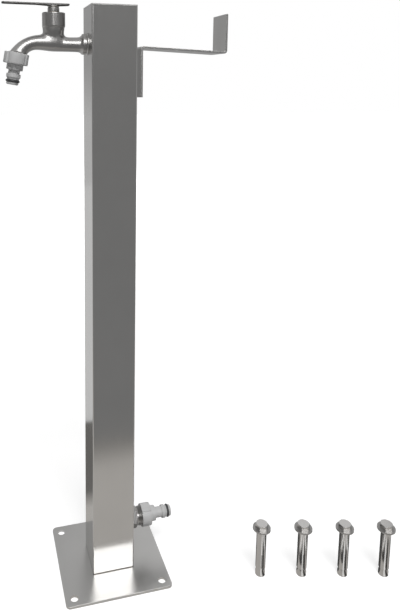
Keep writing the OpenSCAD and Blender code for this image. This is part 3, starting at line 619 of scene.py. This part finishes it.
class STANDPIPE_OT_base(bpy.types.Operator):
    """Base plate with eased edges and four fixing holes"""

    bl_idname = "standpipe.base"
    bl_label = "Base plate"

    def execute(self, context):
        s = context.scene.standpipe_sizes
        holes = next(mount for mount in RECORD["mounts"] if mount["name"] == "base_bolts")["dims"]
        half, _, thick = box("base_plate")[1]
        hole_at = np.array([holes["spacing_x_mm"], holes["spacing_y_mm"]]) / 2 / MM_PER_M
        hole_r = holes["hole_r_mm"] / MM_PER_M
        surface = drilled_plate(half, s.plate_corner, thick, hole_at, hole_r, s.plate_edge)
        add_piece("fixing_plate", surface, "base_plate", 30, flats=True)
        return {"FINISHED"}


class STANDPIPE_OT_hook(bpy.types.Operator):
    """Hose hook: one strip with eased edges, bent into leg, arm and tip"""

    bl_idname = "standpipe.hook"
    bl_label = "Hose hook"

    def execute(self, context):
        s = context.scene.standpipe_sizes
        a, b = box("hose_hook")
        half_t, half_w, r = s.strip_t / 2, (b[1] - a[1]) / 2, s.strip_bend
        up, out, bend_steps = QUARTER, -s.hook_droop, 12
        foot = np.array([a[0] + half_t, a[2]])
        first = np.linspace(up, out, bend_steps)
        second = first[::-1]
        knee = foot + (r, s.hook_leg)
        leg_bend = knee + r * np.stack([-np.sin(first), np.cos(first)], 1)
        arm_end = leg_bend[-1] + s.hook_arm * np.array([math.cos(out), math.sin(out)])
        toe = arm_end + r * np.array([-math.sin(out), math.cos(out)])
        tip_bend = toe + r * np.stack([np.sin(second), -np.cos(second)], 1)
        path = np.concatenate([[foot], leg_bend, tip_bend, [(tip_bend[-1][0], b[2])]])
        heading = np.concatenate([[up], first, second, [up]])
        surface = strip(path, heading, half_w, half_t, s.strip_edge)
        add_piece("bent_strip", surface, "hose_hook", 30, flats=True)
        return {"FINISHED"}


class STANDPIPE_OT_tap_casting(bpy.types.Operator):
    """Tap body: pipe, collar, globe, chest and spout blended as one casting, with a cut thread"""

    bl_idname = "standpipe.tap_casting"
    bl_label = "Tap casting"

    def execute(self, context):
        s = context.scene.standpipe_sizes
        stem = np.array([middle("handle_hub")[0], 0.0, middle("tap_rosette")[2]])
        outlet = np.array(JOINTS["outlet_nut_turn"]["pos_m"])
        drop = np.array(JOINTS["outlet_nut_turn"]["axis"])
        body_low, body_high = box("tap_body")
        collar_end = box("tap_rosette")[0][0] - stem[0]
        tail_end, _, chest_top = body_high - stem
        flats_z = chest_top - s.flats_h
        root_r = s.thread_r - s.thread_depth
        collar_edge, flats_edge, chest_edge, skirt_edge = 0.0008, 0.0004, 0.001, 0.0006
        boss_edge, bonnet_edge, chest_fillet, boss_fillet = 0.0004, 0.0005, 0.0008, 0.002
        overlap, skirt_step, sin_45, sin_60 = 0.001, 0.0003, 0.707, math.sqrt(0.75)
        flare_len, water_depth = 0.016, 0.011

        def chest_and_globe(x, y, z):
            """Distances to the six-sided chest, its lower rim cut to a cone, and to the globe under it, a
            sphere that is stretched downwards and towards the spout."""
            stem_r = np.hypot(x, y)
            slant = np.maximum(np.abs(x / 2 + y * sin_60), np.abs(x / 2 - y * sin_60))
            flats = np.maximum(np.abs(x), slant) - s.chest_flat
            flats = trim_to(flats, stem_r - s.chest_flat - s.chest_corner, flats_edge)
            chest = trim_to(flats, slab(z, flats_z, chest_top), chest_edge)
            chest = trim_to(chest, (stem_r - s.globe_r - skirt_step - z + flats_z) * sin_45, skirt_edge)
            fore = np.where(x < 0, x * s.globe_r / (s.globe_r + s.globe_fore), x)
            under = np.minimum(z - flats_z, 0) * s.globe_r / s.globe_h
            globe = np.sqrt(fore**2 + y**2 + under**2) - s.globe_r
            return chest, np.maximum(globe, z - flats_z - overlap)

        def pipe_and_spout(x, y, z, reach):
            """Distance to the pipe and the bent spout: from a centre line, straight and then an arc, less a
            radius that grows at the chest, the wall and the thread."""
            bend_x, bend_z = x + s.spout_run, z + s.spout_bend_r
            bent = bend_x < 0
            rise = np.where(bent, np.hypot(bend_x, bend_z) - s.spout_bend_r, z)
            arc = s.spout_bend_r * np.arctan2(-bend_x, bend_z)
            run = np.where(bent, s.spout_run + arc, -x) / s.swell_len
            fuller = s.spout_swell * (1 - np.clip(np.where(x > 0, x / s.swell_back, run), 0, 1) ** 2) ** 2
            flare = np.clip(1 + (s.boss_len + reach) / flare_len, 0, 1) ** 2
            flare = flare * np.clip(-bend_x / s.spout_bend_r, 0, 1)
            wall = np.clip(1 + (x - collar_end) / s.wall_flare_len, 0, 1) ** 2
            back = np.clip(1 + x / s.spout_run, 0, 1)
            back = back**2 * (3 - 2 * back)
            pipe_r = s.pipe_r + fuller + s.spout_flare * flare + s.wall_flare * wall + s.back_swell * back
            pipe = np.hypot(rise - fuller + s.back_drop * back, y) - pipe_r
            return np.maximum(pipe, np.maximum(x - collar_end, reach))

        def field(points):
            """Distance to the casting: each form's distance, blended by smooth unions, less the bonnet bore
            and the waterway in the spout's end."""
            x, y, z = (points[..., k] - stem[k] for k in range(3))
            pipe_ring = np.hypot(y, z)
            reach = (points - outlet) @ drop
            outlet_r = np.linalg.norm(points - outlet - reach[..., None] * drop, axis=-1)
            collar = slab(x, collar_end - s.collar_len, collar_end)
            collar = trim_to(pipe_ring - s.collar_r, collar, collar_edge)
            tail = np.maximum(pipe_ring - s.tail_r, slab(x, collar_end, tail_end))
            boss = trim_to(outlet_r - root_r, slab(reach, -s.boss_len, 0), boss_edge)
            chest, globe = chest_and_globe(x, y, z)
            body = blend_in(pipe_and_spout(x, y, z, reach), collar, s.wall_fillet)
            body = blend_in(body, globe, s.cast_fillet + s.back_fillet * np.clip(x / s.swell_back, 0, 1))
            body = blend_in(body, chest, chest_fillet)
            body = np.minimum(blend_in(body, boss, boss_fillet), tail)
            bonnet = np.maximum(np.hypot(x, y) - s.bonnet_r, chest_top - s.bonnet_depth - z)
            body = trim_to(body, -bonnet, bonnet_edge)
            return np.maximum(body, -np.maximum(outlet_r - s.water_r, -reach - water_depth))

        margin, thread_start, thread_end = 0.003, 0.0012, 0.0003
        casting = skin(field, body_low - margin, body_high + margin, s.skin_step)
        thread = along(screw_thread(s, thread_start - s.boss_len, -thread_end), outlet, drop)
        add_piece("tap_casting", joined(casting, thread), "tap_body", 48)
        return {"FINISHED"}


class STANDPIPE_OT_rosette(bpy.types.Operator):
    """Turned wall rosette with a rounded rim"""

    bl_idname = "standpipe.rosette"
    bl_label = "Wall rosette"

    def execute(self, context):
        s = context.scene.standpipe_sizes
        a, b = box("tap_rosette")
        r, t, play = (b[2] - a[2]) / 2, b[0] - a[0], 0.0003
        bore, slant = s.tail_r + play, 0.55 * t
        rim = [(r, 0, 0.0003), (r, slant, 0.0012), (r - slant, t, 0.0008)]
        profile = turned((bore, 0, 0.0001), *rim, (bore, t, 0.0001))
        surface = along(lathe(profile), (b[0], 0, middle("tap_rosette")[2]), (-1, 0, 0))
        add_piece("wall_rosette", surface, "tap_rosette", 40)
        return {"FINISHED"}


class STANDPIPE_OT_handle(bpy.types.Operator):
    """Flat lever with a countersunk hole and eased edges, on a turned hub"""

    bl_idname = "standpipe.handle"
    bl_label = "Lever and hub"

    def lever(self, s, stem_x):
        """A rounded rectangle round a countersunk hole: lines run from the hole over the top, round the eased
        rim and back underneath, where the rim is lifted towards both ends."""
        a, b = box("handle_lever")
        thick, half = b[2] - a[2], (b[1] - a[1]) / 2
        corner_r, corner_steps, side_steps = half * 0.715, 14, 12
        corners = np.array([(a[0], -half), (b[0], -half), (b[0], half), (a[0], half)]) - (stem_x, 0)
        arcs = rounded(corners, corner_r, corner_steps).reshape(4, corner_steps, 2)
        share = np.linspace(0, 1, side_steps, endpoint=False)[1:, None]
        sides = arcs[:, -1:] + share * (np.roll(arcs, -1, 0)[:, :1] - arcs[:, -1:])
        outline = np.concatenate([arcs, sides], 1).reshape(-1, 2)
        run = np.roll(outline, -1, 0) - np.roll(outline, 1, 0)
        normal = unit(np.stack([run[:, 1], -run[:, 0]], 1))
        bore, sink = 0.00225, 0.0041
        wall = ((bore, 0.0), (bore, thick - (sink - bore) / 2), (sink, thick))
        rings = [level(unit(outline) * r, z) for r, z in wall]
        thin = s.lever_thin * np.clip((np.abs(outline[:, 0]) - half) / (2 * half), 0, 1)
        for inset, z in zip(*eased_rim(thick, s.lever_edge)):
            rings.append(level(outline - normal * inset, z + thin * (z < thick / 2)))
        points, quads = shell(np.stack(rings, 1))
        return points + (stem_x, 0, a[2]), quads

    def hub(self, stem_x):
        """A turned profile with a waist, carried round the stem."""
        a, b = box("handle_hub")
        r, h = (b[0] - a[0]) / 2, b[2] - a[2]
        bore, chamfer, waist_r = 0.00395, 0.0008, r - 0.0005
        waist = [(r, 0.62), (waist_r, 0.68), (waist_r, 0.80), (r, 0.86)]
        foot = [(bore, 0, 0.0001), (r - chamfer, 0, 0.0005), (r, chamfer, 0.0005)]
        belt = [(radius, h * share, 0.0003) for radius, share in waist]
        profile = turned(*foot, *belt, (r, h, 0.0002), (bore, h, 0.0001))
        return along(lathe(profile), (stem_x, 0, a[2]), (0, 0, 1))

    def execute(self, context):
        s = context.scene.standpipe_sizes
        stem_x = middle("handle_hub")[0]
        add_piece("lever", self.lever(s, stem_x), "handle_lever", 35, flats=True)
        add_piece("lever_hub", self.hub(stem_x), "handle_hub", 40)
        return {"FINISHED"}


class STANDPIPE_OT_connectors(bpy.types.Operator):
    """Moulded hose connectors: a grooved nut and a quick-coupling nipple at outlet and inlet"""

    bl_idname = "standpipe.connectors"
    bl_label = "Hose connectors"

    collar_end = 0.0125

    def nut(self, s):
        """A turned profile of grip, collar, throat and bore, with finger grooves outside."""
        grip, face, seat, edge, fine = 0.009, 0.005, 0.0043, s.mould_edge, 0.0002
        nut_r, collar_r, bore_r, throat_r = 0.0156, 0.0105, 0.0133, 0.0094
        groove_half, groove_root_r, groove_fade = 0.0022, 0.0139, 0.0012

        def grooves(angle, r, z):
            """Finger grooves: a rounded notch of the outer wall at even angles, wider than it is deep."""
            off = (angle * s.grip_count / TURN) % 1.0 - 0.5
            wide = np.clip(1 - (off * TURN / max(s.grip_count, 1) * r / groove_half) ** 2, 0, 1)
            return -s.nut_groove * wide**0.75 * np.clip((r - groove_root_r) / groove_fade, 0, 1)

        wall = [(nut_r, -grip, edge), (nut_r, face, edge * 1.6)]
        collar = [(collar_r, face, edge), (collar_r, self.collar_end, edge * 0.7)]
        throat = [(throat_r, self.collar_end, fine), (throat_r, seat, fine)]
        bore = [(bore_r, seat, fine), (bore_r, -grip, 0.0003)]
        return lathe(turned(*wall, *collar, *throat, *bore), 256, grooves)

    def nipple(self, neck_len):
        """A turned profile of flange, neck, ridge, seal groove and nose, round its bore."""
        flange_r, neck_r, ridge_r = 0.01275, 0.0073, 0.0091
        nose_r, groove_r, bore_r = 0.0077, 0.00575, 0.0045
        base, flange, neck, edge, fine = 0.002, 0.0042, self.collar_end + 0.0003, 0.0003, 0.0002
        ridge = self.collar_end + neck_len
        nose = ridge + 0.006
        groove, groove_end, bevel, tip = nose + 0.0014, nose + 0.0048, nose + 0.007, nose + 0.008
        foot = [(flange_r, base, edge), (flange_r, flange, edge), (ridge_r, flange, edge)]
        shoulder = [(ridge_r, neck, 0.0005), (neck_r, neck, 0.0008), (neck_r, ridge, 0.0008)]
        rise = [(ridge_r, ridge, 0.0004), (ridge_r, nose - 0.0016, 0.0006), (nose_r, nose, 0.0005)]
        seal = [(nose_r, groove, edge), (groove_r, groove, fine), (groove_r, groove_end, fine)]
        end = [(nose_r, groove_end, edge), (nose_r, bevel, 0.0005), (nose_r - (tip - bevel), tip, 0.0004)]
        bore = [(bore_r, tip, edge), (bore_r, base, edge)]
        return lathe(turned(*foot, *shoulder, *rise, *seal, *end, *bore))

    def execute(self, context):
        s = context.scene.standpipe_sizes
        for place in ("outlet", "inlet"):
            turn = JOINTS[f"{place}_nut_turn"]
            nut, nipple = self.nut(s), self.nipple(getattr(s, f"{place}_neck"))
            for kind, surface, replaced in (("grip_nut", nut, "nut"), ("quick_nipple", nipple, "nipple")):
                surface = along(surface, turn["pos_m"], turn["axis"])
                add_piece(f"{place}_{kind}", surface, f"{place}_{replaced}", 38)
        return {"FINISHED"}


class STANDPIPE_OT_union(bpy.types.Operator):
    """Bulkhead union at the inlet: tail, chamfered hexagon and cut hose thread"""

    bl_idname = "standpipe.union"
    bl_label = "Inlet union"

    def execute(self, context):
        s = context.scene.standpipe_sizes
        a, b = box("inlet_union")
        wall = box("inlet_wall_washer")[1][0]
        hex_r, hex_len, sixth = (b[2] - a[2]) / 2, 0.009, math.pi / 3
        tail, end, root = a[0] - wall, b[0] - wall, s.thread_r - s.thread_depth
        cone_step, cone_rise, tail_edge, end_edge = 0.0002, 1.7, 0.0004, 0.0006
        thread_start, thread_end = 0.0014, 0.0004

        def hexagon(angle, r, z):
            """Six flats: the flat's distance over the cosine from its middle, inside two chamfer cones."""
            flat = hex_r / np.cos((angle + sixth / 2) % sixth - sixth / 2)
            cone = hex_r - cone_step + cone_rise * np.minimum(z, hex_len - z)
            return np.where(r > (root + hex_r) / 2, np.minimum(flat, cone) - r, 0.0)

        chamfer, flat_at = np.array([0.0, 0.0003, 0.0007, 0.0012, 0.0018]), 0.003
        flats = np.linspace(flat_at, hex_len - flat_at, 5)
        flank = np.concatenate([chamfer, flats, hex_len - chamfer[::-1]])
        shank = s.tail_r
        inner = [(s.water_r, tail), (shank - tail_edge, tail), (shank, tail + tail_edge), (shank, 0.0)]
        outer = [(root, hex_len), (root, end - end_edge), (root - end_edge, end), (s.water_r, end)]
        profile = np.array([*inner, *((hex_r, z) for z in flank), *outer])
        body = lathe(profile, 144, hexagon)
        thread = screw_thread(s, hex_len + thread_start, end - thread_end)
        surface = along(joined(body, thread), (wall, 0, middle("inlet_union")[2]), (1, 0, 0))
        add_piece("bulkhead_union", surface, "inlet_union", 30)
        return {"FINISHED"}


# Studio

ROOM_HALF, ROOM_H = 3.2, 3.4


def emitter(name, rgb, tone):
    """A finish that gives metal a tone to show: an even one, or one graded along an Object axis and given as
    (axis, from, to, first tone, last tone)."""
    material, tree = blank(bpy.data.materials, name)
    if isinstance(tone, tuple):
        axis, start, end, first, last = tone
        tone = spread(tree, object_axis(tree, axis), first, last, start, end)
    glow = node(tree, "Emission", {"Color": (*rgb, 1.0), "Strength": tone})
    node(tree, "OutputMaterial", {"Surface": glow.outputs["Emission"]})
    return material


def stage_sheet(name, corners, material):
    """A flat piece of the stage."""
    mesh = bpy.data.meshes.new(name)
    mesh.from_pydata([tuple(corner) for corner in corners], [], [tuple(range(len(corners)))])
    mesh.materials.append(material)
    thing = new_object(name, mesh)
    return thing


def upright(x0, y0, x1, y1, low_z=0.0, high_z=ROOM_H):
    """Corners of a standing card over a line on the floor."""
    return [(x0, y0, low_z), (x1, y1, low_z), (x1, y1, high_z), (x0, y0, high_z)]


def lying(x0, y0, x1, y1, z):
    """Corners of a card that lies level."""
    return [(x0, y0, z), (x1, y0, z), (x1, y1, z), (x0, y1, z)]


def slice_round(at, eye, start, end, z):
    """Corners of a level slice round an anchor's foot, between two angles from the way to the camera."""
    reach, steps = 0.085, 6
    facing = math.atan2(eye[1] - at[1], eye[0] - at[0])
    turn = facing + np.radians(np.linspace(start, end, steps))
    rim = at + reach * np.stack([np.cos(turn), np.sin(turn)], 1)
    return [(x, y, z) for x, y in (at, *rim)]


def grey_cards(eye):
    """Name, corners and tone of each card: a room of greys round the part, its ground, a light strip that the
    chest shows, and a dark, a light and a rear slice of ground round each anchor."""
    w, ground = ROOM_HALF, 0.0002
    cards = [
        ("front", upright(-w, -w, w, -w), 0.25),
        ("back_left", upright(-w, w, 0, w), ("Z", 0.45, 0.8, 0.58, 0.40)),
        ("back_right", upright(0, w, w, w), 0.35),
        ("back_high", upright(-w, w - 0.1, w, w - 0.1, 1.8), ("X", 0.3, 1.1, 0.47, 0.88)),
        ("left_front", upright(-w, -w, -w, 0), 0.25),
        ("left_back", upright(-w, 0, -w, w), 0.45),
        ("right", upright(w, -w, w, w), 0.42),
        ("ceiling", lying(-w, -w, w, w, ROOM_H), 0.62),
        ("ground", lying(-w, -w, w, -0.35, ground), 0.25),
        ("near_ground", lying(-w, -0.35, w, 0, ground), ("Y", -0.34, -0.27, 0.25, 0.58)),
        ("paving_left", lying(-w, 0, 0, w, ground), 0.68),
        ("paving_right", lying(0, 0, w, w, ground), 0.4),
        ("near_shadow", lying(-0.3, 0.0756, -0.03, 0.36, 0.0004), ("Y", 0.11, 0.15, 0.50, 0.155)),
        ("strip", upright(-1.0, -2.5, -0.2, -2.5, 0.98, 1.4), 1.9),
    ]
    sleeve_r, (a, b) = 0.007, box("anchor_sleeves")
    inset = np.array([sleeve_r, -sleeve_r])
    feet = np.linspace((a[0], b[1]) + inset, (b[0], a[1]) - inset, 4)
    slices = (("dark", 42, 76, 0.0007, 0.06), ("light", 8, 28, 0.0008, 1.2), ("back", 112, 248, 0.0006, 0.1))
    for kind, start, end, z, tone in slices:
        for k, at in enumerate(feet):
            cards.append((f"anchor_{k}_{kind}", slice_round(at, eye, start, end, z), tone))
    return cards


def softbox(name, target, way, distance, wide, tall, radiance):
    """A rectangular lamp turned to its target. Its power is its even radiance times pi times its area."""
    lamp = bpy.data.lights.new(name, "AREA")
    lamp.shape = "RECTANGLE"
    lamp.size, lamp.size_y = wide, tall
    lamp.energy = radiance * math.pi * wide * tall
    thing = new_object(name, lamp)
    thing.location = target + distance * Vector(way)
    thing.rotation_euler = (target - thing.location).to_track_quat("-Z", "Y").to_euler()
    return thing


def shown_rays(tree):
    """1 for rays from the camera, from a mirror or through glass, which see the background itself."""
    rays = node(tree, "LightPath").outputs
    shown = rays["Is Camera Ray"]
    for kind in ("Is Glossy Ray", "Is Transmission Ray"):
        shown = node(tree, "Math", {0: shown, 1: rays[kind]}, operation="MAXIMUM").outputs["Value"]
    return shown


class STANDPIPE_OT_studio(bpy.types.Operator):
    """Pale floor, white background, softboxes, grey cards and the photograph's camera"""

    bl_idname = "standpipe.studio"
    bl_label = "Studio"

    def camera(self, scene, st):
        """The photograph's camera, with lens and shift from the photograph's pixels."""
        lens = bpy.data.cameras.new("photo_camera")
        lens.sensor_width = 36.0
        lens.lens = st.focal_px / PHOTO_H * lens.sensor_width
        lens.shift_x = (PHOTO_W / 2 - st.centre_x) / PHOTO_H
        lens.shift_y = (st.centre_y - PHOTO_H / 2) / PHOTO_H
        lens.clip_start = 0.01
        eye = new_object("photo_camera", lens)
        unrolled = Euler((QUARTER - st.pitch, 0, -st.azimuth)).to_matrix()
        eye.rotation_euler = (unrolled @ Euler((0, 0, st.roll)).to_matrix()).to_euler()
        eye.location = st.camera_at
        scene.camera = eye

    def air(self, scene, st):
        """Even light all round, and white for the rays that show the background."""
        scene.world, tree = blank(bpy.data.worlds, "studio_air")
        strength = spread(tree, shown_rays(tree), st.sky, 1.0, 0.0, 1.0)
        sky = node(tree, "Background", {"Color": (*WHITE, 1.0), "Strength": strength})
        node(tree, "OutputWorld", {"Surface": sky.outputs["Background"]})

    def floor(self, st, rgb):
        """Pale paper that takes shadows and adds its own light to rays that show it, more further off."""
        half, below, near, far = 12, 0.0002, 0.6, 1.8
        paper, tree = blank(bpy.data.materials, "studio_paper")
        away = node(tree, "VectorMath", {0: object_place(tree)}, operation="LENGTH").outputs["Value"]
        factors = {0: spread(tree, away, st.paper, 1.0, near, far), 1: shown_rays(tree)}
        glow = node(tree, "Math", factors, operation="MULTIPLY").outputs["Value"]
        matt = {"Base Color": (*rgb, 1.0), "Roughness": 0.9, "Specular IOR Level": 0.1}
        lit = {"Emission Color": (*WHITE, 1.0), "Emission Strength": glow}
        shader = node(tree, "BsdfPrincipled", {**matt, **lit})
        node(tree, "OutputMaterial", {"Surface": shader.outputs["BSDF"]})
        stage_sheet("studio_floor", lying(-half, -half, half, half, 0), paper).location.z = -below

    def execute(self, context):
        scene = context.scene
        st, c = scene.standpipe_studio, scene.standpipe_colours
        scene.view_settings.view_transform = "Standard"
        self.camera(scene, st)
        self.air(scene, st)
        self.floor(st, c.floor)
        for name, corners, tone in grey_cards(st.camera_at):
            rgb = c.ground if name.startswith("near") else WHITE
            card = stage_sheet(f"{name}_card", corners, emitter(f"{name}_tone", rgb, tone))
            card.visible_camera = card.visible_diffuse = card.visible_shadow = False
        aim = Vector((0.0, -0.04, 0.02))
        key = softbox("key_softbox", aim, (-0.06, -0.74, 0.67), 3.4, 3.4, 1.15, st.key)
        top = softbox("top_softbox", aim, (0.0, -0.5, 0.866), 6.0, 2.4, 2.4, st.top)
        rear = softbox("rear_softbox", aim, (0.1, 0.9, 0.42), 4.0, 2.0, 2.0, st.fill)
        key.visible_diffuse = False
        top.visible_glossy = rear.visible_glossy = False
        rear.data.use_shadow = False
        return {"FINISHED"}


class STANDPIPE_PT_panel(bpy.types.Panel):
    """Sidebar panel with the properties and a button for each operator"""

    bl_label = "Standpipe"
    bl_space_type = "VIEW_3D"
    bl_region_type = "UI"
    bl_category = "Standpipe"

    def draw(self, context):
        for name, _ in GROUPS:
            group = getattr(context.scene, name)
            column = self.layout.box()
            for field in group.__annotations__:
                column.prop(group, field)
        for operator in OPERATORS:
            self.layout.operator(operator.bl_idname)


GROUPS = (
    ("standpipe_sizes", StandpipeSizes),
    ("standpipe_colours", StandpipeColours),
    ("standpipe_studio", StandpipeStudio),
)
OPERATORS = (
    STANDPIPE_OT_finishes,
    STANDPIPE_OT_base,
    STANDPIPE_OT_hook,
    STANDPIPE_OT_tap_casting,
    STANDPIPE_OT_rosette,
    STANDPIPE_OT_handle,
    STANDPIPE_OT_connectors,
    STANDPIPE_OT_union,
    STANDPIPE_OT_studio,
)


def register():
    for name, group in GROUPS:
        bpy.utils.register_class(group)
        setattr(bpy.types.Scene, name, PointerProperty(type=group))
    for cls in (*OPERATORS, STANDPIPE_PT_panel):
        bpy.utils.register_class(cls)


def unregister():
    for cls in reversed((*OPERATORS, STANDPIPE_PT_panel)):
        bpy.utils.unregister_class(cls)
    for name, group in reversed(GROUPS):
        delattr(bpy.types.Scene, name)
        bpy.utils.unregister_class(group)


def main():
    """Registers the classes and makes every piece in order."""
    register()
    bpy.ops.standpipe.finishes()
    bpy.ops.standpipe.base()
    bpy.ops.standpipe.hook()
    bpy.ops.standpipe.tap_casting()
    bpy.ops.standpipe.rosette()
    bpy.ops.standpipe.handle()
    bpy.ops.standpipe.connectors()
    bpy.ops.standpipe.union()
    bpy.ops.standpipe.studio()


if __name__ == "__main__":
    main()
